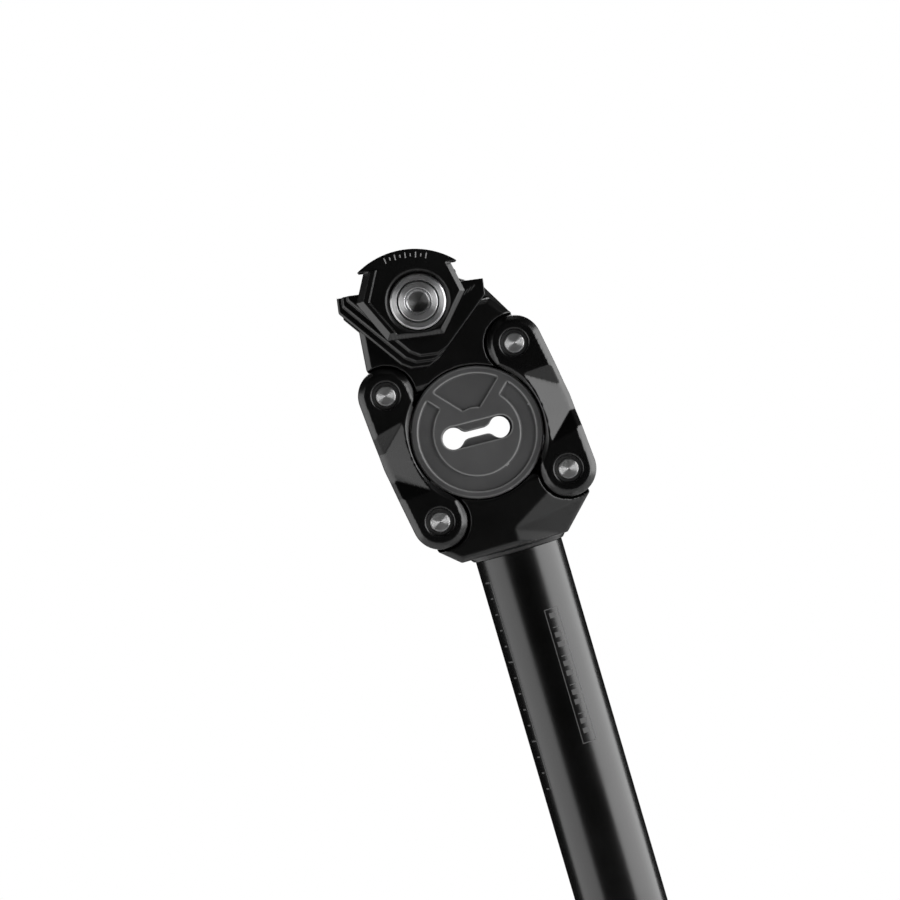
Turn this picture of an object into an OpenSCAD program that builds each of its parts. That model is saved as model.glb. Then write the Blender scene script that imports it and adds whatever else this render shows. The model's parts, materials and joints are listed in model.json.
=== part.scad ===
// Suspension seatpost: a tube, a four-pivot parallelogram head round an elastomer disc,
// and a two-rail saddle clamp.
// Frame: +Z up the tube, +X towards the front of the bicycle, -Y to its right side.
// The origin is the centre of the tube's lower end.

/* [Tube] */
// Outside diameter of the tube
post_d = 27.2; // [26.8:0.1:28.6]
// Wall thickness of the tube
post_wall = 2.4; // [1.8:0.1:3.2]
// Height of the lower body's foot, where the bare tube ends
post_free = 270; // [180:1:330]

/* [Linkage] */
// Distance between the lower and the upper pivot of a link
link_length = 41; // [40.6:0.1:41.4]
// Distance between the front and the rear pivots
pivot_span = 41.6; // [41.2:0.1:42]
// Rearward lean of the links at rest, in degrees
link_lean = 7; // [6:0.5:8]
// Upward slope of the pivot span towards the front, in degrees
span_slope = 6.2; // [5.6:0.1:6.6]
// Diameter of the pivot pins
pin_d = 6; // [5:0.1:6.2]
// Half of the width over the links
link_half_w = 19.5; // [19:0.1:20]

/* [Elastomer] */
// Diameter of the rubber disc
disc_d = 40; // [38:0.1:40.4]
// Half of the width of the disc
disc_half_w = 17.2; // [15:0.1:18]
// Turn of the disc's slot, in degrees
disc_turn = 2; // [-10:0.5:10]

/* [Saddle clamp] */
// Diameter of the saddle rails
rail_d = 7; // [6.8:0.1:7.2]
// Half of the distance between the two rails
rail_half_gap = 22; // [21.8:0.1:22.2]
// Height of the rails above the clamp bolt
rail_rise = 7.8; // [7.7:0.05:8]
// Nose-down slope of the rails against the tube's square, in degrees
rail_slope = 8.8; // [6:0.2:10]
// Nominal diameter of the clamp bolt
bolt_d = 8; // [7:0.1:8]

/* [Hidden] */
$fn = 64;

// Axis words: FRONT and REAR along X, UPPER and LOWER along Z, LEFT and RIGHT along Y
FRONT = 1;
REAR = -1;
UPPER = 1;
LOWER = -1;
LEFT = 1;
RIGHT = -1;

// Everything on the head is drawn round the disc's centre, the middle of the four pivots
foot_z = -38;
hub = [-2.2, post_free - foot_z];
half_span = pivot_span / 2 * [cos(span_slope), sin(span_slope)];
half_link = link_length / 2 * [-sin(link_lean), cos(link_lean)];
function pivot(side, level) = side * half_span + level * half_link;

// Widths across the head, from the middle plane outwards
lug_half_w = 12.5;
ear_in = 13.5;
body_half_w = 18;
core_half_w = 14.6;
pin_half_l = 18.8;
pin_bevel = 0.4;

// How far a cut runs: through everything, or a little past a face
reach = 60;
past = 1;

// Radii round the pivots
lug_r = 8;
ear_r = 8.4;
tongue_r = 11.8;
slot_r = 12.2;
recess_r = 9;
bush_r = 4;
bush_flange_r = 6;
bush_flange_t = 0.8;
bush_inset = 1.1;
sink_r = 4.2;
sink_bevel = 0.3;
pin_gap = 0.03;
open_pin_gap = 0.07;

// Pockets round the disc
body_pocket_r = 20.4;
link_pocket_r = 20.4;
belt_r = 20.3;

// Outlines of the two bodies' full-width slabs, round the disc's centre
lower_outline = [[-21.6, -31], [-15.4, -36.4], [17.8, -36.4], [27.7, -26.5], [24.2, -16.5], [-17.8, -16.5]];
upper_outline = [
    [-26.7, 26.8], [-25.4, 40.5], [-22.3, 41.8], [14.8, 37.8], [20, 31.6], [19.7, 16.5], [-21.8, 16.5]
];
core_outline = [[-25.4, 30], [-25.4, 40.5], [-20, 45.5], [13.9, 42.2], [20, 31.6], [12, 25], [-18, 25]];
body_bevel = 1.6;

// Clamp bolt, round the disc's centre
bolt = [-6, 42];
bolt_r = bolt_d / 2;
bolt_gap = 0.2;
boss_r = 11;
jaw_recess_r = 12.2;
jaw_boss_r = jaw_recess_r - 0.4;

// The clamp's own frame has its origin on the bolt and X along the rails; the clamp's middle is
// a little behind the bolt
clamp_shift = -2;
jaw_in = 14.9;
jaw_face = 24.4;
clamp_in = 24.8;
clamp_face = 30;
jaw_outline = [
    [-22, 4.6], [-22, -0.2], [-5.6, -17.7], [-2.6, -19.3], [2.6, -19.3], [5.6, -17.7], [22, -0.2], [22, 4.6]
];
clamp_outline = [[-11.6, 14.2], [-16.2, 1.6], [-8.4, -10.4], [8.4, -10.4], [16.2, 1.6], [11.6, 14.2]];
clamp_bevel = 2;
clamp_dish = [[-7.2, 16], [-12.4, 1.6], [-3.4, -12], [5.7, -12], [14.6, 1.6], [9.4, 16]];
dish_step = 0.6;
flange_face = clamp_face - dish_step;
flange_r = 24;
flange_top = 15.8;
flange_foot = 10.6;

// Bolt head, cup washer and nut
washer_r = 8.3;
cup_r = 7.4;
cup_gap = 0.1;
cup_in = rail_half_gap + rail_d / 2 + 0.3;
dish_y = 27.8;
washer_face = 30.2;
head_r = 6;
head_y = 26.8;
head_face = 30.4;
head_ring_r = 3.9;
head_bevel = 0.5;
socket_af = 6;
socket_depth = 3.4;
nut_af = 13;
nut_face = 31;

// ---- Placing ----

// Draws the children round the disc's centre
module head() translate([hub.x, 0, hub.y]) children();

// Moves the children to a point of the side view
module at(p) translate([p.x, 0, p.y]) children();

// Turns a side-view outline into a slab between two depths
module between(y0, y1) translate([0, y1, 0]) rotate([90, 0, 0]) linear_extrude(y1 - y0) children();

// Turns a side-view outline into a slab across the middle plane
module across(half_w) between(-half_w, half_w) children();

// Cuts or fills on both sides of the middle plane
module both_sides() {
    children();
    mirror([0, 1, 0]) children();
}

// A round bar across the head
module cross_bar(r, half_l) rotate([90, 0, 0]) cylinder(r = r, h = 2 * half_l, center = true);

// A cone across the head, r0 at depth y0 and r1 at depth y1
module cross_cone(r0, r1, y0, y1)
    translate([0, y0, 0]) rotate([-90, 0, 0]) cylinder(r1 = r0, r2 = r1, h = y1 - y0);

// A slab whose two faces have bevelled edges; the outline is convex
module bevelled_slab(outline, half_w, bevel) {
    hull() {
        across(half_w - bevel) polygon(outline);
        across(half_w) offset(delta = -bevel) polygon(outline);
    }
}

// A convex side-view outline as a slab with bevelled edges on its outer face only
module bevelled_plate(y0, y1, bevel) {
    hull() {
        between(y0, y1 - bevel) children();
        between(y0, y1) offset(delta = -bevel) children();
    }
}

// A disc with bevelled rims
module bevelled_disc(r, half_w, bevel) {
    rotate([90, 0, 0]) rotate_extrude() polygon([
        [0, -half_w], [r - bevel, -half_w], [r, bevel - half_w],
        [r, half_w - bevel], [r - bevel, half_w], [0, half_w]
    ]);
}

// The wedge between a front pivot, the disc's pocket and the bodies' slabs, out to a radius
module inner_wedge(level, r) {
    p = pivot(FRONT, level);
    towards_hub = atan2(-p.y, -p.x);
    inward = 180 + link_lean;
    intersection() {
        polygon([
            p, p + 2 * r * [cos(towards_hub), sin(towards_hub)], p + 2 * r * [cos(inward), sin(inward)]
        ]);
        translate(p) circle(r = r);
    }
}

// The lug that a link's ears straddle, with a tongue that closes the gap beside the disc
module lug(side, level) {
    at(pivot(side, level)) cross_bar(lug_r, lug_half_w);
    across(lug_half_w) rotate(side == FRONT ? 0 : 180) inner_wedge(side * level, tongue_r);
}

// ---- Tube and lower body ----

socket_top = -24.5;
spigot_d = post_d - 0.6;

module post_tube() {
    height = hub.y + socket_top;
    color([0.05, 0.05, 0.055])
    difference() {
        union() {
            cylinder(d = post_d, h = post_free, $fn = 128);
            cylinder(d = spigot_d, h = height, $fn = 128);
        }
        translate([0, 0, -past]) cylinder(d = post_d - 2 * post_wall, h = height + 2 * past, $fn = 128);
    }
}

// Room for the link ears beside a lug
module ear_recess() both_sides() cross_cone(recess_r, recess_r, lug_half_w, reach);

// The slanted cut on the lower body's front corner: from points on its face down to two low ones
corner_face = [[16, -22.8], [2.5, -30.8], [2.5, -38]];
corner_low = [[20.5, -38], [30, -27]];
corner_depth = 5.6;
point_size = 0.01;
facet_lift = 3;

module corner_facet() {
    both_sides() hull() {
        for (p = concat(corner_face, corner_low), lift = [0, facet_lift])
            translate([p.x, body_half_w + lift, p.y]) cube(point_size, center = true);
        for (p = corner_low)
            translate([p.x, body_half_w - corner_depth, p.y]) cube(point_size, center = true);
    }
}

module lower_body() {
    collar_r = 16;
    collar_h = 2.4;
    collar_lip = 0.5;
    color([0.04, 0.04, 0.045])
    difference() {
        union() {
            head() bevelled_slab(lower_outline, body_half_w, body_bevel);
            for (side = [FRONT, REAR]) head() lug(side, LOWER);
            translate([0, 0, post_free]) cylinder(r1 = post_d / 2 + collar_lip, r2 = collar_r, h = collar_h);
        }
        translate([0, 0, post_free - past])
            cylinder(d = spigot_d, h = past + socket_top - foot_z, $fn = 128);
        head() cross_bar(body_pocket_r, reach);
        for (side = [FRONT, REAR]) head() at(pivot(side, LOWER)) {
            ear_recess();
            cross_bar(pin_d / 2, reach);
        }
        head() corner_facet();
    }
}

// ---- Upper body ----

module upper_body() {
    color([0.04, 0.04, 0.045])
    head() difference() {
        union() {
            bevelled_slab(upper_outline, body_half_w, body_bevel);
            hull() {
                across(core_half_w - body_bevel) polygon(core_outline);
                across(core_half_w) offset(delta = -body_bevel) polygon(core_outline);
                at(bolt) bevelled_disc(boss_r, core_half_w, body_bevel);
            }
            for (side = [FRONT, REAR]) lug(side, UPPER);
        }
        cross_bar(body_pocket_r, reach);
        for (side = [FRONT, REAR]) at(pivot(side, UPPER)) {
            ear_recess();
            cross_bar(pin_d / 2, reach);
        }
        at(bolt) {
            cross_bar(bolt_r + bolt_gap, reach);
            both_sides() cross_cone(jaw_recess_r, jaw_recess_r, core_half_w, reach);
        }
    }
}

// ---- Links ----

// The diamond-cut middle of a link's face: two inner corners on the face and two low outer ones
facet_top_in = [18, 13];
facet_low_in = [20.7, -9.3];
facet_top_out = [33, 13.8];
facet_low_out = [34, -6];
facet_floor = [[32, 4.6], [32, 1.5]];
facet_depth = 5.6;
link_bevel = 1.8;
link_bulge = 1;

module link_facet() {
    both_sides() hull() {
        for (p = [facet_top_in, facet_low_in, facet_top_out, facet_low_out], lift = [0, facet_lift])
            translate([p.x, link_half_w + lift, p.y]) cube(point_size, center = true);
        for (p = facet_floor, drop = [-facet_lift, facet_depth])
            translate([p.x, link_half_w - drop, p.y]) cube(point_size, center = true);
    }
}

// Takes the web between a link's round end and the disc's pocket away
module end_relief(level) {
    across(reach) difference() {
        inner_wedge(level, 14);
        translate(pivot(FRONT, level)) circle(r = ear_r);
    }
}

// The front link, round the disc's centre
module link_shape() {
    inner_bevel = 1.2;
    difference() {
        hull() for (p = [pivot(FRONT, UPPER), pivot(FRONT, LOWER), [half_span.x + link_bulge, half_span.y]])
            at(p) bevelled_disc(ear_r, link_half_w, link_bevel, $fn = 48);
        cross_bar(link_pocket_r, reach, $fn = 128);
        both_sides() cross_cone(
            link_pocket_r, link_pocket_r + inner_bevel, link_half_w - inner_bevel, link_half_w, $fn = 128
        );
        for (level = [UPPER, LOWER]) {
            end_relief(level);
            at(pivot(FRONT, level)) {
                cross_bar(slot_r, ear_in);
                cross_bar(bush_r, reach);
                both_sides() cross_cone(sink_r, sink_r + sink_bevel, link_half_w - sink_bevel, link_half_w);
                both_sides() cross_cone(sink_r, sink_r, link_half_w - bush_inset, link_half_w + past);
            }
        }
        link_facet();
    }
}

module front_link() color([0.03, 0.03, 0.035]) head() link_shape();

module rear_link() color([0.03, 0.03, 0.035]) head() rotate([0, 180, 0]) link_shape();

// ---- Elastomer ----

module disc_relief() {
    ring_out = 17.7;
    ring_in = 13.2;
    wedge_in = 7.7;
    wedge_apex = 4.6;
    open_from = 45;
    open_to = 134;
    wide = 40;
    difference() {
        circle(r = ring_out);
        circle(r = ring_in);
        polygon([[0, 0], wide * [cos(open_from), sin(open_from)], wide * [cos(open_to), sin(open_to)]]);
    }
    intersection() {
        difference() {
            circle(r = ring_out);
            circle(r = wedge_in);
        }
        translate([0, wedge_apex]) polygon([
            [0, 0], wide * [cos(open_from), sin(open_from)], wide * [cos(open_to), sin(open_to)]
        ]);
    }
}

hole_r = 3.4;
hole_gap = 14.6;
bar_half_h = 1.05;
fillet_r = 2.5;

// Two holes joined by a straight bar, with a fillet in each corner
module disc_slot() {
    fillet_z = bar_half_h + fillet_r;
    fillet_x = hole_gap / 2 - sqrt(pow(hole_r + fillet_r, 2) - fillet_z * fillet_z);
    neck_half_h = fillet_z * hole_r / (hole_r + fillet_r);
    for (side = [FRONT, REAR]) translate([side * hole_gap / 2, 0]) circle(r = hole_r);
    difference() {
        square([hole_gap, 2 * neck_half_h], center = true);
        for (level = [UPPER, LOWER]) {
            for (side = [FRONT, REAR]) translate([side * fillet_x, level * fillet_z]) circle(r = fillet_r);
            translate([0, level * fillet_z]) square([2 * fillet_x, 2 * fillet_r], center = true);
        }
    }
}

module elastomer() {
    relief = 0.8;
    tray = 2;
    rim = 0.5;
    color([0.3, 0.3, 0.31])
    head() rotate([0, disc_turn, 0]) difference() {
        union() {
            bevelled_disc(disc_d / 2, disc_half_w, rim, $fn = 128);
            cross_bar(belt_r, lug_half_w, $fn = 128);
        }
        across(reach) disc_slot();
        both_sides() between(disc_half_w - relief, disc_half_w + past) disc_relief();
        both_sides() between(disc_half_w - tray, disc_half_w + past)
            square([hole_gap, 2 * hole_r], center = true);
    }
}

// ---- Pins and bushes ----

module pivot_pin(side, level) {
    color([0.7, 0.7, 0.72])
    head() at(pivot(side, level)) bevelled_disc(pin_d / 2, pin_half_l, pin_bevel);
}

module pivot_bush(side, level, hand) {
    gap = side == REAR && level == UPPER ? open_pin_gap : pin_gap;
    inner = pin_d / 2 + gap;
    flange_in = ear_in - bush_flange_t;
    outer_end = link_half_w - bush_inset;
    color([0.55, 0.55, 0.57])
    head() at(pivot(side, level)) scale([1, hand, 1]) rotate([-90, 0, 0]) rotate_extrude() polygon([
        [inner, flange_in], [bush_flange_r, flange_in], [bush_flange_r, ear_in],
        [bush_r, ear_in], [bush_r, outer_end], [inner, outer_end]
    ]);
}

// ---- Saddle clamp ----

// The clamp's frame: origin on the bolt, X along the rails
module clamp_frame() head() at(bolt) rotate([0, rail_slope, 0]) children();

// Everything between the shoulders of the clamp is drawn for the left side and mirrored
module to_side(hand) {
    if (hand == LEFT) children();
    else mirror([0, 1, 0]) children();
}

module rail_cut() {
    translate([-reach / 2 + clamp_shift, rail_half_gap, rail_rise])
        rotate([0, 90, 0]) cylinder(d = rail_d, h = reach);
}

// The jaw is a stack of three plates. Each is drawn back along the front arm's edge, so that the
// steps and their bevels are on the rear arm only.
front_arm = [0.68, 0.73];
step_w = 2.3;
step_t = 1;
jaw_bevel = 0.6;

module jaw_layer(back) {
    intersection() {
        polygon(jaw_outline);
        translate(back * front_arm) polygon(jaw_outline);
    }
}

module jaw_plate(y0, y1, back) {
    hull() {
        between(y0, y1 - jaw_bevel) jaw_layer(back);
        between(y0, y1) jaw_layer(back + jaw_bevel);
    }
}

module inner_jaw(hand) {
    lip_half_l = 13.2;
    lip_foot = 1.5;
    lip_top = 8.6;
    plate_in = body_half_w + 0.3;
    boss_end = plate_in + 0.5;
    color([0.03, 0.03, 0.035])
    clamp_frame() to_side(hand) difference() {
        union() {
            for (step = [0 : 2]) translate([clamp_shift, 0, 0])
                jaw_plate(plate_in, jaw_face - (2 - step) * step_t, step * step_w);
            translate([clamp_shift, 0, 0]) between(jaw_in, rail_half_gap)
                translate([-lip_half_l, lip_foot]) square([2 * lip_half_l, lip_top - lip_foot]);
            cross_cone(jaw_boss_r, jaw_boss_r, jaw_in, boss_end);
        }
        rail_cut();
        cross_bar(bolt_r + bolt_gap, reach);
        // keeps the round boss below the lip
        translate([0, 0, lip_top]) between(0, plate_in) translate([-reach / 2, 0]) square(reach);
    }
}

// The round flange over the rail
module clamp_flange() {
    translate([clamp_shift, flange_top - flange_r]) intersection() {
        circle(r = flange_r, $fn = 128);
        translate([-reach / 2, flange_foot - flange_top + flange_r]) square(reach);
    }
}

module outer_clamp(hand) {
    flange_in = 19.8;
    hook_half_l = 12.4;
    overlap = 0.1;
    seat_r = washer_r + 0.3;
    seat_flare = 2.4;
    seat_flare_h = 1.2;
    color([0.03, 0.03, 0.035])
    clamp_frame() to_side(hand) difference() {
        union() {
            intersection() {
                translate([clamp_shift, 0, 0])
                    bevelled_plate(clamp_in, clamp_face, clamp_bevel) polygon(clamp_outline);
                across(reach) translate([-reach / 2, flange_foot + overlap - reach]) square(reach);
            }
            between(flange_in, flange_face) clamp_flange();
            translate([clamp_shift, 0, 0]) between(rail_half_gap, clamp_face - clamp_bevel)
                translate([-hook_half_l, rail_rise]) square([2 * hook_half_l, flange_foot - rail_rise + past]);
        }
        rail_cut();
        translate([clamp_shift, 0, 0]) between(flange_face, clamp_face + past) polygon(clamp_dish);
        cross_cone(seat_r, seat_r, dish_y, reach);
        cross_cone(seat_r, seat_r + seat_flare, clamp_face - seat_flare_h, clamp_face);
        if (hand == RIGHT) cross_cone(cup_r + cup_gap, cup_r + cup_gap, 0, reach);
        else rotate([-90, 0, 0]) cylinder(d = (nut_af + 2 * cup_gap) / cos(30), h = reach, $fn = 6);
    }
}

module clamp_bolt() {
    color([0.72, 0.72, 0.74])
    clamp_frame() difference() {
        union() {
            mirror([0, 1, 0]) {
                cross_cone(head_r, head_r, head_y, head_face - head_bevel);
                cross_cone(head_r, head_r - head_bevel, head_face - head_bevel, head_face);
            }
            mirror([0, 1, 0]) cross_cone(bolt_r, bolt_r, -nut_face, head_y);
        }
        mirror([0, 1, 0]) {
            translate([0, head_face - socket_depth, 0]) rotate([-90, 0, 0])
                cylinder(d = socket_af / cos(30), h = socket_depth + past, $fn = 6);
            cross_cone(head_ring_r - head_bevel, head_ring_r, head_face - head_bevel, head_face);
        }
    }
}

module bolt_washer() {
    head_gap = 0.15;
    rim = 0.6;
    color([0.66, 0.66, 0.68])
    clamp_frame() mirror([0, 1, 0]) rotate([-90, 0, 0]) rotate_extrude() polygon([
        [bolt_r + bolt_gap, cup_in], [cup_r, cup_in], [cup_r, dish_y], [washer_r, dish_y],
        [washer_r, washer_face - rim], [washer_r - rim, washer_face], [head_r + head_gap, washer_face],
        [head_r + head_gap, head_y], [bolt_r + bolt_gap, head_y]
    ]);
}

module clamp_nut() {
    thread_gap = 0.05;
    rim = 0.8;
    color([0.66, 0.66, 0.68])
    clamp_frame() difference() {
        union() {
            translate([0, cup_in, 0]) rotate([-90, 0, 0])
                cylinder(d = nut_af / cos(30), h = dish_y + past - cup_in, $fn = 6);
            cross_cone(washer_r, washer_r, dish_y, nut_face - rim);
            cross_cone(washer_r, washer_r - rim, nut_face - rim, nut_face);
        }
        cross_bar(bolt_r + thread_gap, reach);
    }
}

post_tube();
lower_body();
upper_body();
front_link();
rear_link();
elastomer();
pivot_pin(FRONT, LOWER);  // front_lower_pin
pivot_pin(REAR, LOWER);  // rear_lower_pin
pivot_pin(FRONT, UPPER);  // front_upper_pin
pivot_pin(REAR, UPPER);  // rear_upper_pin
pivot_bush(FRONT, LOWER, RIGHT);  // front_lower_bush_right
pivot_bush(FRONT, LOWER, LEFT);  // front_lower_bush_left
pivot_bush(FRONT, UPPER, RIGHT);  // front_upper_bush_right
pivot_bush(FRONT, UPPER, LEFT);  // front_upper_bush_left
pivot_bush(REAR, LOWER, RIGHT);  // rear_lower_bush_right
pivot_bush(REAR, LOWER, LEFT);  // rear_lower_bush_left
pivot_bush(REAR, UPPER, RIGHT);  // rear_upper_bush_right
pivot_bush(REAR, UPPER, LEFT);  // rear_upper_bush_left
inner_jaw(RIGHT);  // right_inner_jaw
inner_jaw(LEFT);  // left_inner_jaw
outer_clamp(RIGHT);  // right_outer_clamp
outer_clamp(LEFT);  // left_outer_clamp
clamp_bolt();
bolt_washer();
clamp_nut();
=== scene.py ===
"""The looks of a suspension seatpost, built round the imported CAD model."""

import json
import math

import bmesh
import bpy
import numpy as np
from mathutils import Matrix, Vector
from mathutils.bvhtree import BVHTree


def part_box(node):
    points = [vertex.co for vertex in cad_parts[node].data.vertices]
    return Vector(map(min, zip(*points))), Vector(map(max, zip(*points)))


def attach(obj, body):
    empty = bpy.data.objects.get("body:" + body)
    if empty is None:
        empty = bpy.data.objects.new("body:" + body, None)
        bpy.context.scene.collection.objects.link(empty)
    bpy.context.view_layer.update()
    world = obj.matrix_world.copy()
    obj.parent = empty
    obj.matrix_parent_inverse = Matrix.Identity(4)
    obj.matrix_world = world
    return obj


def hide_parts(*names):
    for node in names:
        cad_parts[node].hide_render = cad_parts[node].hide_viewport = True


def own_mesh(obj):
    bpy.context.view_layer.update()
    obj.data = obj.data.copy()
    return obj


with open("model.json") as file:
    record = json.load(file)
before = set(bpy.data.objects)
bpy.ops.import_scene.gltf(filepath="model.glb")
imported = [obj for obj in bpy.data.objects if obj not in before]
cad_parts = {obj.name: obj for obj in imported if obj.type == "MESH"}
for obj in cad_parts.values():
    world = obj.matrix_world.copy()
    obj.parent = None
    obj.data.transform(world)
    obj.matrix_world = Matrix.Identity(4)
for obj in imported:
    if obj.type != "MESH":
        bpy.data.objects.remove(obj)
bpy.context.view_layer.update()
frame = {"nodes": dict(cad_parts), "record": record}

MM = 0.001
TAU = 2 * math.pi


# ---- Places, all from the frame ----

def node_middle(node):
    """The middle of a CAD node's box."""
    low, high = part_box(node)
    return (low + high) / 2


DISC = node_middle("elastomer")
BOLT = node_middle("bolt_washer")
PIVOTS = {
    (end, level): node_middle(end + "_" + level + "_pin")
    for end in ("front", "rear") for level in ("lower", "upper")
}
PAD_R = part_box("front_link")[1].z - PIVOTS["front", "upper"].z
PIN_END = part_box("front_upper_pin")[1].y
POST_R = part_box("post_tube")[1].x
RAIL_SLOPE = math.radians(8.8)


# ---- Camera, light and floor ----

CAMERA_DISTANCE = 900 * MM
CAMERA_ROLL = math.radians(16.365)
FRAME_WIDTH = 274.9 * MM
AIM_BEHIND_DISC = 9.3 * MM
AIM_BELOW_DISC = 2.8 * MM
SENSOR = 36.0


def add_camera():
    """Looks straight along +Y at the head, rolled as a leaning post is seen."""
    data = bpy.data.cameras.new("camera")
    data.sensor_width = SENSOR
    data.lens = SENSOR * CAMERA_DISTANCE / FRAME_WIDTH
    camera = bpy.data.objects.new("camera", data)
    bpy.context.scene.collection.objects.link(camera)
    aim = Vector((DISC.x - AIM_BEHIND_DISC, 0, DISC.z - AIM_BELOW_DISC))
    back = Vector((0, -1, 0))
    up = Vector((math.sin(CAMERA_ROLL), 0, math.cos(CAMERA_ROLL)))
    right = up.cross(back)
    turn = Matrix((right, up, back)).transposed().to_4x4()
    camera.matrix_world = Matrix.Translation(aim + back * CAMERA_DISTANCE) @ turn
    bpy.context.scene.camera = camera


def add_softbox(name, azimuth, elevation, distance, width, height, power):
    """A soft light facing the head, in degrees, metres and watts.

    Azimuth 0 is the camera's side and 90 is the bicycle's front.
    """
    a, e = math.radians(azimuth), math.radians(elevation)
    away = Vector((math.sin(a) * math.cos(e), -math.cos(a) * math.cos(e), math.sin(e)))
    data = bpy.data.lights.new(name, "AREA")
    data.shape = "RECTANGLE"
    data.size = width
    data.size_y = height
    data.energy = power
    light = bpy.data.objects.new(name, data)
    bpy.context.scene.collection.objects.link(light)
    light.location = DISC + away * distance
    light.rotation_mode = "QUATERNION"
    light.rotation_quaternion = away.to_track_quat("Z", "Y")
    light.visible_camera = False


def add_lights():
    """Big soft boxes on both sides of the post, dark towards the camera, and a high one behind."""
    add_softbox("left", -75, -9, 0.9, 1.05, 1.15, 7)
    add_softbox("right", 80, -8, 0.9, 1.5, 1.0, 18)
    add_softbox("back", 180, 50, 1.1, 0.8, 0.8, 12)


def add_world():
    """A white studio for the camera and a dim one for reflections."""
    world = bpy.data.worlds.new("studio")
    world.use_nodes = True
    bpy.context.scene.world = world
    nodes, links = world.node_tree.nodes, world.node_tree.links
    nodes.clear()
    out = nodes.new("ShaderNodeOutputWorld")
    mix = nodes.new("ShaderNodeMixShader")
    path = nodes.new("ShaderNodeLightPath")
    dim = nodes.new("ShaderNodeBackground")
    white = nodes.new("ShaderNodeBackground")
    dim.inputs["Color"].default_value = (0.008, 0.008, 0.008, 1)
    white.inputs["Color"].default_value = (1, 1, 1, 1)
    links.new(path.outputs["Is Camera Ray"], mix.inputs["Fac"])
    links.new(dim.outputs[0], mix.inputs[1])
    links.new(white.outputs[0], mix.inputs[2])
    links.new(mix.outputs[0], out.inputs["Surface"])


def add_floor():
    """A plain pale disc that the post stands on."""
    floor = lathe("floor", [(0, -2), (600, -2), (600, 0), (0, 0)], 96)
    floor.data.materials.append(FLOOR_PAINT)
    floor.rotation_euler = (math.pi / 2, 0, 0)
    floor.location.z = -0.0005


# ---- Mesh making ----

def mesh_object(name, bm, smooth_angle=35):
    """Links a bmesh as an object with smooth shading up to an angle."""
    bmesh.ops.recalc_face_normals(bm, faces=bm.faces)
    limit = math.radians(smooth_angle)
    for face in bm.faces:
        face.smooth = True
    for edge in bm.edges:
        if len(edge.link_faces) == 2 and edge.calc_face_angle(0) > limit:
            edge.smooth = False
    mesh = bpy.data.meshes.new(name)
    bm.to_mesh(mesh)
    bm.free()
    piece = bpy.data.objects.new(name, mesh)
    bpy.context.scene.collection.objects.link(piece)
    return piece


def ring_radius(radius, sides, angle):
    """The radius of a round ring, or of a polygon with that many flats and that distance to each."""
    if not sides:
        return radius
    flat = TAU / sides
    return radius / math.cos((angle + flat / 2) % flat - flat / 2)


def lathe(name, profile, segments, turn=0.0):
    """Turns (radius, depth) points in millimetres round the Y axis.

    A third number in a point makes that ring a polygon with that many flats.
    """
    bm = bmesh.new()
    rings = []
    for point in profile:
        radius, depth = point[0] * MM, point[1] * MM
        sides = point[2] if len(point) > 2 else 0
        if radius == 0:
            rings.append([bm.verts.new((0, depth, 0))])
            continue
        ring = []
        for k in range(segments):
            angle = TAU * k / segments
            r = ring_radius(radius, sides, angle)
            ring.append(bm.verts.new((r * math.cos(angle + turn), depth, r * math.sin(angle + turn))))
        rings.append(ring)
    closed = profile[0][0] > 0
    for a, b in zip(rings, rings[1:] + ([rings[0]] if closed else [])):
        for k in range(segments):
            n = (k + 1) % segments
            corners = [a[k % len(a)], a[n % len(a)], b[n % len(b)], b[k % len(b)]]
            corners = list(dict.fromkeys(corners))
            if len(corners) > 2:
                bm.faces.new(corners)
    return mesh_object(name, bm)


def forged(node, voxel, rounds, trim=None):
    """A fine copy of a CAD node with its sharp edges rounded as a forging's are.

    The voxel is in millimetres, and more rounds of smoothing make rounder edges.
    """
    source = frame["nodes"][node]
    piece = bpy.data.objects.new(node + "_forged", source.data.copy())
    bpy.context.scene.collection.objects.link(piece)
    piece.data.materials.clear()
    remesh(piece, voxel)
    snap = piece.modifiers.new("snap", "SHRINKWRAP")
    snap.target = source
    apply_modifiers(piece)
    if trim:
        places = np.empty(len(piece.data.vertices) * 3)
        piece.data.vertices.foreach_get("co", places)
        places = trim(places.reshape(-1, 3))
        piece.data.vertices.foreach_set("co", places.ravel())
        remesh(piece, voxel)
    smooth = piece.modifiers.new("smooth", "SMOOTH")
    smooth.factor = 0.5
    smooth.iterations = rounds
    apply_modifiers(piece)
    for face in piece.data.polygons:
        face.use_smooth = True
    dress(piece, node)
    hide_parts(node)
    return piece


def thin_belt(disc, half_width, ratio):
    """Uses fewer faces on the part of the disc that the bodies hide round its middle."""
    belt = disc.vertex_groups.new(name="belt")
    rim = 0.45 * disc.dimensions.x
    for vertex in disc.data.vertices:
        out = vertex.co - DISC
        if abs(out.y) < half_width and math.hypot(out.x, out.z) > rim:
            belt.add([vertex.index], 1, "REPLACE")
    modifier = disc.modifiers.new("thin", "DECIMATE")
    modifier.vertex_group = belt.name
    modifier.ratio = ratio
    apply_modifiers(disc)
    disc.vertex_groups.clear()


def remesh(piece, voxel):
    """Rebuilds a closed mesh from cubes of that size in millimetres."""
    modifier = piece.modifiers.new("remesh", "REMESH")
    modifier.mode = "VOXEL"
    modifier.voxel_size = voxel * MM
    apply_modifiers(piece)


def apply_modifiers(piece):
    """Makes a piece's modifiers part of its mesh."""
    graph = bpy.context.evaluated_depsgraph_get()
    made = bpy.data.meshes.new_from_object(piece.evaluated_get(graph))
    piece.modifiers.clear()
    old = piece.data
    piece.data = made
    bpy.data.meshes.remove(old)


def dress(piece, node):
    """Gives a piece the finish, the material slot and the body of a CAD node."""
    piece.data.materials.append(FINISH[SLOT_OF[node]])
    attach(piece, BODY_OF[node])


# ---- Links ----

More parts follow.
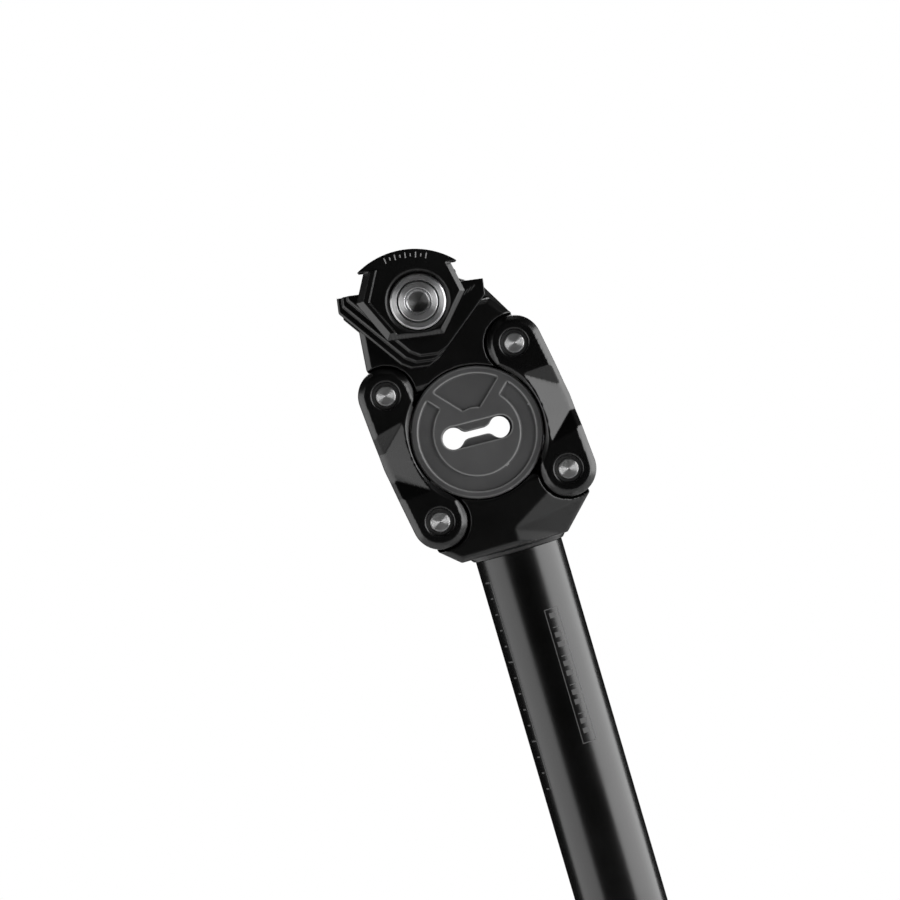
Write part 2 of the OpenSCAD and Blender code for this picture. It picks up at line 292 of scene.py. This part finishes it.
BAND = 1.5 * MM
LINK_BULGE = 1 * MM
PROBE = 0.05 * MM
BAND_MARGIN = 0.3 * MM
EAR_FROM_Y = 10 * MM


def outline_depth(points, corners, radius):
    """How far outside a triangle grown by a radius each (x, z) point is; negative inside."""
    nearest = np.full(len(points), np.inf)
    inside = np.ones(len(points), bool)
    middle = corners.mean(axis=0)
    for start, end in zip(corners, np.roll(corners, -1, axis=0)):
        edge = end - start
        normal = np.array([edge[1], -edge[0]])
        offset = points - start
        along = np.clip(offset @ edge / (edge @ edge), 0, 1)
        nearest = np.minimum(nearest, np.linalg.norm(offset - along[:, None] * edge, axis=1))
        inside &= (offset @ normal) * ((middle - start) @ normal) > 0
    return np.where(inside, -nearest, nearest) - radius


def face_height(tree, points):
    """The height of the CAD face over each (x, z) point, a little inside the outline."""
    heights = np.empty(len(points))
    for k, (x, z) in enumerate(points):
        hit = tree.ray_cast(Vector((x, 1, z)), Vector((0, -1, 0)))[0]
        heights[k] = hit.y if hit else 0
    return heights


def link_trim(end):
    """Bevels a link's outer edge all along, following its face down into the diamond-cut middle."""
    side = 1 if end == "front" else -1
    top, low = PIVOTS[end, "upper"], PIVOTS[end, "lower"]
    middle = (top + low) / 2
    swell = Vector((side * LINK_BULGE, 0, 0))
    corners = np.array([[p.x, p.z] for p in (top, low, middle + swell)])
    tree = BVHTree.FromObject(frame["nodes"][end + "_link"], bpy.context.evaluated_depsgraph_get())

    def trim(places):
        flat = places[:, [0, 2]]
        depth = outline_depth(flat, corners, PAD_R)
        near = (depth > -BAND - BAND_MARGIN) & (np.abs(places[:, 1]) > EAR_FROM_Y)
        rise = [
            outline_depth(flat[near] + step, corners, PAD_R)
            - outline_depth(flat[near] - step, corners, PAD_R)
            for step in np.eye(2) * PROBE
        ]
        inward = -np.stack(rise, axis=1) / (2 * PROBE)
        probe = flat[near] + inward * (depth[near] + BAND)[:, None]
        limit = face_height(tree, probe) - np.clip(depth[near] + BAND, 0, None)
        y = places[near, 1]
        places[near, 1] = np.sign(y) * np.minimum(np.abs(y), limit)
        return places

    return trim


# ---- Materials ----

# How far the roughness of a coat strays from place to place
PATCHY = 0.05


def new_material(name):
    """A material with its Principled shader, and its nodes and links."""
    material = bpy.data.materials.new(name)
    material.use_nodes = True
    nodes, links = material.node_tree.nodes, material.node_tree.links
    return material, nodes, links, nodes["Principled BSDF"]


def noise(nodes, links, scale, detail, stretch=(1, 1, 1)):
    """A noise texture in the piece's own coordinates, scaled in cycles per metre."""
    place = nodes.new("ShaderNodeTexCoord")
    mapping = nodes.new("ShaderNodeMapping")
    mapping.inputs["Scale"].default_value = stretch
    texture = nodes.new("ShaderNodeTexNoise")
    texture.inputs["Scale"].default_value = scale
    texture.inputs["Detail"].default_value = detail
    links.new(place.outputs["Object"], mapping.inputs["Vector"])
    links.new(mapping.outputs["Vector"], texture.inputs["Vector"])
    return texture.outputs["Fac"]


def spread(nodes, links, value, low, high, start=0.3, end=0.7):
    """Maps a value from start..end to low..high."""
    node = nodes.new("ShaderNodeMapRange")
    node.inputs["From Min"].default_value = start
    node.inputs["From Max"].default_value = end
    node.inputs["To Min"].default_value = low
    node.inputs["To Max"].default_value = high
    links.new(value, node.inputs["Value"])
    return node.outputs["Result"]


def bump(nodes, links, height, distance):
    """A bump of that depth in metres."""
    node = nodes.new("ShaderNodeBump")
    node.inputs["Distance"].default_value = distance
    links.new(height, node.inputs["Height"])
    return node.outputs["Normal"]


def blend_colours(nodes, links, amount, first, second):
    """Goes from the first colour to the second as amount goes from 0 to 1.

    Each colour is either three numbers or the output of another node.
    """
    node = nodes.new("ShaderNodeMix")
    node.data_type = "RGBA"
    for place, colour in ((node.inputs[6], first), (node.inputs[7], second)):
        if isinstance(colour, tuple):
            place.default_value = (*colour, 1)
        else:
            links.new(colour, place)
    links.new(amount, node.inputs[0])
    return node.outputs[2]


def grey(value):
    """A neutral colour."""
    return (value, value, value)


def anodised(name, colour, painted_edge_colour, roughness, grain_scale, grain_depth, stretch=(1, 1, 1)):
    """Black anodised aluminium: a fine blasted grain, patchy gloss and edges painted a little lighter, a
    painted highlight along its convex edges.
    """
    material, nodes, links, shader = new_material(name)
    shader.inputs["Metallic"].default_value = 0.0
    shader.inputs["IOR"].default_value = 1.6
    geometry = nodes.new("ShaderNodeNewGeometry")
    # Painted highlight: convex edges, found by pointiness, take the lighter edge colour.
    edge = spread(nodes, links, geometry.outputs["Pointiness"], 0, 1, 0.52, 0.6)
    links.new(blend_colours(nodes, links, edge, colour, painted_edge_colour), shader.inputs["Base Color"])
    patches = noise(nodes, links, 60, 3)
    gloss = spread(nodes, links, patches, roughness - PATCHY, roughness + PATCHY, 0.1, 0.9)
    links.new(gloss, shader.inputs["Roughness"])
    grain = noise(nodes, links, grain_scale, 3, stretch)
    links.new(bump(nodes, links, grain, grain_depth), shader.inputs["Normal"])
    return material


def matt_paint(name, colour, roughness, patch_scale, grain_scale, grain_depth):
    """A matt coat with faint patches and a fine grain."""
    material, nodes, links, shader = new_material(name)
    patches = spread(nodes, links, noise(nodes, links, patch_scale, 3), 0, 1)
    darker = tuple(0.9 * c for c in colour)
    links.new(blend_colours(nodes, links, patches, darker, colour), shader.inputs["Base Color"])
    gloss = spread(nodes, links, patches, roughness - PATCHY, roughness + PATCHY, 0, 1)
    links.new(gloss, shader.inputs["Roughness"])
    grain = noise(nodes, links, grain_scale, 2)
    links.new(bump(nodes, links, grain, grain_depth), shader.inputs["Normal"])
    return material


def rubber_material():
    """Matt dark-grey moulded rubber with a fine grain, a faint bloom and painted highlights on its
    convex edges.
    """
    material, nodes, links, shader = new_material("moulded_rubber")
    shader.inputs["IOR"].default_value = 1.5
    bloom = noise(nodes, links, 90, 4)
    patches = spread(nodes, links, bloom, 0, 1)
    colour = blend_colours(nodes, links, patches, (0.085, 0.085, 0.086), (0.105, 0.105, 0.106))
    geometry = nodes.new("ShaderNodeNewGeometry")
    # Painted highlight: convex edges of the relief, found by pointiness, are painted a light grey.
    edge = spread(nodes, links, geometry.outputs["Pointiness"], 0, 1, 0.508, 0.548)
    links.new(blend_colours(nodes, links, edge, colour, grey(0.3)), shader.inputs["Base Color"])
    links.new(spread(nodes, links, bloom, 0.38, 0.46), shader.inputs["Roughness"])
    grain = noise(nodes, links, 5200, 2)
    links.new(bump(nodes, links, grain, 0.00003), shader.inputs["Normal"])
    return material


def axis_distance(nodes, links):
    """The distance from the piece's own Y axis, as a share of its width."""
    place = nodes.new("ShaderNodeTexCoord")
    centre = nodes.new("ShaderNodeVectorMath")
    centre.operation = "SUBTRACT"
    centre.inputs[1].default_value = (0.5, 0.5, 0.5)
    flat = nodes.new("ShaderNodeVectorMath")
    flat.operation = "MULTIPLY"
    flat.inputs[1].default_value = (1, 0, 1)
    length = nodes.new("ShaderNodeVectorMath")
    length.operation = "LENGTH"
    links.new(place.outputs["Generated"], centre.inputs[0])
    links.new(centre.outputs[0], flat.inputs[0])
    links.new(flat.outputs[0], length.inputs[0])
    return length.outputs["Value"]


def rings(nodes, links, distance, scale):
    """Noise that changes only with a distance."""
    texture = nodes.new("ShaderNodeTexNoise")
    texture.noise_dimensions = "1D"
    texture.inputs["Scale"].default_value = scale
    texture.inputs["Detail"].default_value = 3
    links.new(distance, texture.inputs["W"])
    return texture.outputs["Fac"]


def turned_steel(name, colour, roughness, anisotropy, socket_shade_to=0.0):
    """Bright turned steel, brushed in rings round the Y axis.

    Its middle is painted a darker grey out to the last argument, a share of the piece's width: painted
    shade, as in a bolt's socket.
    """
    material, nodes, links, shader = new_material(name)
    shader.inputs["Metallic"].default_value = 1.0
    shader.inputs["Anisotropic"].default_value = anisotropy
    shader.inputs["Anisotropic Rotation"].default_value = 0.25
    distance = axis_distance(nodes, links)
    tool_marks = rings(nodes, links, distance, 45)
    darker = tuple(0.62 * c for c in colour)
    steel = blend_colours(nodes, links, spread(nodes, links, tool_marks, 0, 1), darker, colour)
    # Painted shade: the middle, such as a bolt's hexagon socket, is painted a darker grey.
    if socket_shade_to:
        unshaded = spread(nodes, links, distance, 0, 1, socket_shade_to - 0.02, socket_shade_to)
        steel = blend_colours(nodes, links, unshaded, grey(0.32), steel)
    links.new(steel, shader.inputs["Base Color"])
    gloss = spread(nodes, links, tool_marks, roughness + 0.06, roughness - 0.04)
    links.new(gloss, shader.inputs["Roughness"])
    grain = noise(nodes, links, 3000, 2)
    links.new(bump(nodes, links, grain, 0.000004), shader.inputs["Normal"])
    tangent = nodes.new("ShaderNodeTangent")
    tangent.direction_type = "RADIAL"
    tangent.axis = "Y"
    links.new(tangent.outputs["Tangent"], shader.inputs["Tangent"])
    return material


BLACK = grey(0.002)
# Lighter colours for convex edges, here and the tube's grey(0.012) below: a painted highlight.
PAINTED_EDGE_HIGHLIGHT = grey(0.02)
TUBE_BLACK = anodised("tube_black", BLACK, grey(0.012), 0.24, 2400, 0.000004, (1, 1, 0.12))
FORGED_BLACK = anodised("forged_black", BLACK, PAINTED_EDGE_HIGHLIGHT, 0.31, 3600, 0.000005)
LINK_BLACK = anodised("link_black", BLACK, PAINTED_EDGE_HIGHLIGHT, 0.28, 3600, 0.000004)
CLAMP_BLACK = anodised("clamp_black", BLACK, PAINTED_EDGE_HIGHLIGHT, 0.3, 3600, 0.000004)
RUBBER = rubber_material()
PLATED = (0.97, 0.97, 0.98)
PIN_STEEL = turned_steel("pin_steel", grey(0.98), 0.42, 0.92)
# The bolt's middle, out to 0.27 of its width, gets painted shade for its socket.
BOLT_STEEL = turned_steel("bolt_steel", PLATED, 0.42, 0.93, 0.27)
WASHER_STEEL = turned_steel("washer_steel", PLATED, 0.4, 0.93)
BUSH_STEEL = turned_steel("bush_steel", grey(0.2), 0.4, 0.5)

INK = matt_paint("pad_printed_ink", grey(0.42), 0.5, 900, 6000, 0.000003)
TUBE_INK = matt_paint("tube_ink", grey(0.11), 0.5, 900, 6000, 0.000003)
FLOOR_PAINT = matt_paint("floor_paint", grey(0.88), 0.6, 6, 300, 0.0001)

BODY_OF = {
    node: body for body, nodes in frame["record"]["behaviour"]["bodies"].items() for node in nodes
}
SLOT_OF = {part["node"]: part["material_slot"] for part in frame["record"]["subparts"]}
FINISH = {
    "tube_anodised": TUBE_BLACK, "forged_anodised": FORGED_BLACK, "link_anodised": LINK_BLACK,
    "clamp_anodised": CLAMP_BLACK, "rubber": RUBBER, "pin_steel": PIN_STEEL, "bush_steel": BUSH_STEEL,
    "bolt_steel": BOLT_STEEL, "washer_steel": WASHER_STEEL,
}


def finish_nodes():
    """Gives every CAD node that still shows its finish."""
    for name, node in frame["nodes"].items():
        for place in node.material_slots:
            place.material = FINISH[SLOT_OF[name]]


BELT_HALF_W = 12 * MM
BELT_SHARE = 0.47


def add_forgings():
    """The forged and moulded pieces, from their CAD shapes."""
    forged("lower_body", 0.34, 11)
    forged("upper_body", 0.36, 8)
    for end in ("front", "rear"):
        forged(end + "_link", 0.28, 2, link_trim(end))
    for hand in ("right", "left"):
        forged(hand + "_inner_jaw", 0.184, 6)
    for hand in ("right", "left"):
        forged(hand + "_outer_clamp", 0.16, 9)
    disc = forged("elastomer", 0.265, 2)
    thin_belt(disc, BELT_HALF_W, BELT_SHARE)
    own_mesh(disc)


# ---- Turned parts ----

def place_turned(piece, node, side=1):
    """Puts a lathed piece on the axis of the CAD node that it stands for, facing left or right."""
    centre = node_middle(node)
    piece.data.transform(Matrix.Translation((centre.x, 0, centre.z)) @ Matrix.Diagonal((1, side, 1, 1)))
    if side < 0:
        piece.data.flip_normals()
    dress(piece, node)
    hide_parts(node)


def turned_face(outer, inner, depth, pitch=0.22, groove=0.012):
    """Profile points across a turned face, from its rim inwards, with fine tool rings."""
    count = int((outer - inner) / pitch)
    points = []
    for k in range(count):
        radius = outer - k * pitch
        points += [(radius, depth), (radius - pitch / 2, depth - groove)]
    return points + [(inner, depth)]


def add_pins():
    """Each pivot pin: a turned bar with ringed, chamfered ends and a centre mark."""
    end = PIN_END / MM
    for (place, level), centre in PIVOTS.items():
        node = place + "_" + level + "_pin"
        radius = (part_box(node)[1].x - centre.x) / MM
        half = [(radius, end - 0.4), (radius - 0.12, end - 0.15), (radius - 0.35, end)]
        half += turned_face(radius - 0.35, 0.4, end)
        half += [(0.25, end - 0.25), (0, end - 0.35)]
        back = [(r, -y) for r, y in reversed(half)]
        place_turned(lathe(node + "_turned", back + half, 96), node)


def add_bolt():
    """The clamp bolt with its hexagon socket, the cup washer and the flanged nut on the far side."""
    head, face, seat = 6.0, 30.4, 26.8
    shank, tip = 4.0, -31.0
    socket, floor = 3.0, 27.0
    bolt = [(0, floor - 0.6), (socket, floor, 6), (socket, face - 0.5, 6), (3.42, face - 0.3)]
    bolt += [(3.5, face - 0.9), (3.95, face - 0.9), (4.0, face - 0.1), (4.1, face)]
    bolt += reversed(turned_face(head - 0.35, 4.1, face))
    bolt += [(head - 0.2, face - 0.1), (head - 0.15, face - 0.4), (head - 0.15, seat), (shank, seat)]
    bolt += [(shank, tip + 0.8), (shank - 0.7, tip), (0, tip)]
    place_turned(lathe("clamp_bolt_turned", bolt, 96, RAIL_SLOPE), "clamp_bolt", -1)

    cup_in, dish, rim, top = 25.8, 27.8, 8.3, 30.2
    washer = [(4.2, cup_in), (7.4, cup_in), (7.4, dish), (rim, dish), (rim, top - 0.55)]
    washer += [(rim - 0.15, top - 0.2), (rim - 0.5, top)]
    washer += turned_face(rim - 0.5, 6.5, top)
    washer += [(6.4, top - 0.1), (6.35, top - 0.3), (6.35, seat), (4.2, seat)]
    place_turned(lathe("bolt_washer_turned", washer, 96), "bolt_washer", -1)

    nut_face = 31.0
    nut = [(4.05, cup_in), (6.5, cup_in, 6), (6.5, dish, 6), (rim, dish), (rim, nut_face - 0.9)]
    nut += [(rim - 0.25, nut_face - 0.3), (rim - 0.8, nut_face)]
    nut += turned_face(rim - 0.8, 4.9, nut_face)
    nut += [(4.05, nut_face - 0.8)]
    place_turned(lathe("clamp_nut_turned", nut, 96, RAIL_SLOPE), "clamp_nut")


# ---- Tube and markings ----

def tube_wall(points, segments):
    """Turns (radius, height) points in millimetres round the Z axis into a closed ring."""
    bm = bmesh.new()
    rings = []
    for radius, height in points:
        rings.append([
            bm.verts.new((
                radius * MM * math.cos(TAU * k / segments),
                radius * MM * math.sin(TAU * k / segments),
                height * MM,
            )) for k in range(segments)
        ])
    for a, b in zip(rings, rings[1:] + rings[:1]):
        for k in range(segments):
            n = (k + 1) % segments
            bm.faces.new((a[k], a[n], b[n], b[k]))
    return bm


TUBE_WALL = 2.4
SPIGOT_STEP = 0.3


def add_tube():
    """The tube, with a cut and deburred lower end."""
    radius = POST_R / MM
    bore = radius - TUBE_WALL
    spigot = radius - SPIGOT_STEP
    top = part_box("post_tube")[1].z / MM
    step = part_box("lower_body")[0].z / MM
    points = [(bore + 0.4, 0), (radius - 0.5, 0), (radius - 0.15, 0.15), (radius, 0.5)]
    points += [(radius, step * k / 40) for k in range(1, 41)]
    points += [(spigot, step + 0.1), (spigot, top), (bore, top)]
    points += [(bore, step * k / 10) for k in range(10, 0, -1)] + [(bore, 0.4)]
    piece = mesh_object("post_tube_drawn", tube_wall(points, 160))
    dress(piece, "post_tube")
    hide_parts("post_tube")


INK_SUNK = 0.04 * MM
INK_PROUD = 0.012 * MM
INK_STEP = 0.4


def tube_bar(bm, azimuth, width, low, high):
    """Adds a printed bar to the tube, with its width along the girth.

    Azimuth 0 is the middle of the right side.
    """
    steps = max(2, int(width / INK_STEP))
    half = width * MM / POST_R / 2
    grid = []
    for radius in (POST_R - INK_SUNK, POST_R + INK_PROUD):
        for z in (low, high):
            grid.append([
                bm.verts.new((
                    radius * math.sin(math.radians(azimuth) + half * (2 * k / steps - 1)),
                    -radius * math.cos(math.radians(azimuth) + half * (2 * k / steps - 1)), z * MM
                )) for k in range(steps + 1)
            ])
    for a, b in ((0, 1), (1, 3), (3, 2), (2, 0)):
        for k in range(steps):
            bm.faces.new((grid[a][k], grid[a][k + 1], grid[b][k + 1], grid[b][k]))
    for k in (0, steps):
        bm.faces.new((grid[0][k], grid[1][k], grid[3][k], grid[2][k]))


def add_tube_scale():
    """Printed marks on the tube: a depth scale towards the rear, and an outlined bar scale."""
    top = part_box("lower_body")[0].z / MM
    bm = bmesh.new()
    for k in range(14):
        long_mark = k % 5 == 0
        tube_bar(bm, -62, 2.6 if long_mark else 1.5, top - 7 - 5 * k, top - 6.55 - 5 * k)
    tube_bar(bm, -54.5, 0.3, top - 72, top - 6.55)
    low, high, line = top - 61, top - 19, 0.28
    for azimuth in (9, 27):
        tube_bar(bm, azimuth, line, low, high)
    for z in (low, high - line):
        tube_bar(bm, 18, 4.5, z, z + line)
    for k in range(1, 14):
        tube_bar(bm, 18, 2.2, low + 3 * k, low + 3 * k + (1.6 if k % 3 else line))
    ink = mesh_object("tube_scale", bm)
    ink.data.materials.append(TUBE_INK)
    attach(ink, BODY_OF["post_tube"])


def clamp_point(u, v, y):
    """A point of the clamp's own frame, which has its origin on the bolt and u along the rails."""
    c, s = math.cos(RAIL_SLOPE), math.sin(RAIL_SLOPE)
    return Vector((BOLT.x + (u * c + v * s) * MM, y * MM, BOLT.z + (v * c - u * s) * MM))


def face_bar(bm, start, end, width, y, sunk=0.05, proud=0.012):
    """Adds a thin bar between two clamp-frame points, just proud of a face at depth y."""
    along = Vector((end[0] - start[0], end[1] - start[1])).normalized()
    across = Vector((-along.y, along.x)) * width / 2
    side = 1 if y > 0 else -1
    rims = []
    for depth in (y - side * sunk, y + side * proud):
        rims.append([
            bm.verts.new(clamp_point(p[0] + sign * across.x, p[1] + sign * across.y, depth))
            for p, sign in ((start, 1), (start, -1), (end, -1), (end, 1))
        ])
    bm.faces.new(rims[0])
    bm.faces.new(rims[1])
    for k in range(4):
        n = (k + 1) % 4
        bm.faces.new((rims[0][k], rims[0][n], rims[1][n], rims[1][k]))


FLANGE_FACE = 29.4
JAW_FACE = 24.4
SIDES = ((-1, "right"), (1, "left"))


def add_clamp_marks():
    """A row of plain ticks round each outer clamp's flange, and three on the front of each jaw."""
    centre_u, centre_v, ring = -2.0, -8.2, 22.2
    for side, name in SIDES:
        bm = bmesh.new()
        for k in range(-4, 5):
            angle = math.radians(90 - 4 * k)
            tall = 0.9 if k % 2 else 1.7
            ends = [
                (centre_u + r * math.cos(angle), centre_v + r * math.sin(angle))
                for r in (ring - tall / 2, ring + tall / 2)
            ]
            face_bar(bm, *ends, 0.34, side * FLANGE_FACE)
        marks = mesh_object(name + "_flange_ticks", bm)
        marks.data.materials.append(INK)
        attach(marks, name + "_clamp")
    for side, name in SIDES:
        bm = bmesh.new()
        for k in range(3):
            start = (13.8 + 1.1 * k, 0.4 + 0.5 * k)
            face_bar(bm, start, (start[0] + 1.3, start[1] + 1.6), 0.22, side * JAW_FACE)
        marks = mesh_object(name + "_jaw_ticks", bm)
        marks.data.materials.append(TUBE_INK)
        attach(marks, BODY_OF[name + "_inner_jaw"])


add_camera()
add_world()
add_lights()
add_floor()
finish_nodes()
add_forgings()
add_pins()
add_bolt()
add_tube()
add_tube_scale()
add_clamp_marks()

bpy.context.scene.view_settings.view_transform = "Standard"
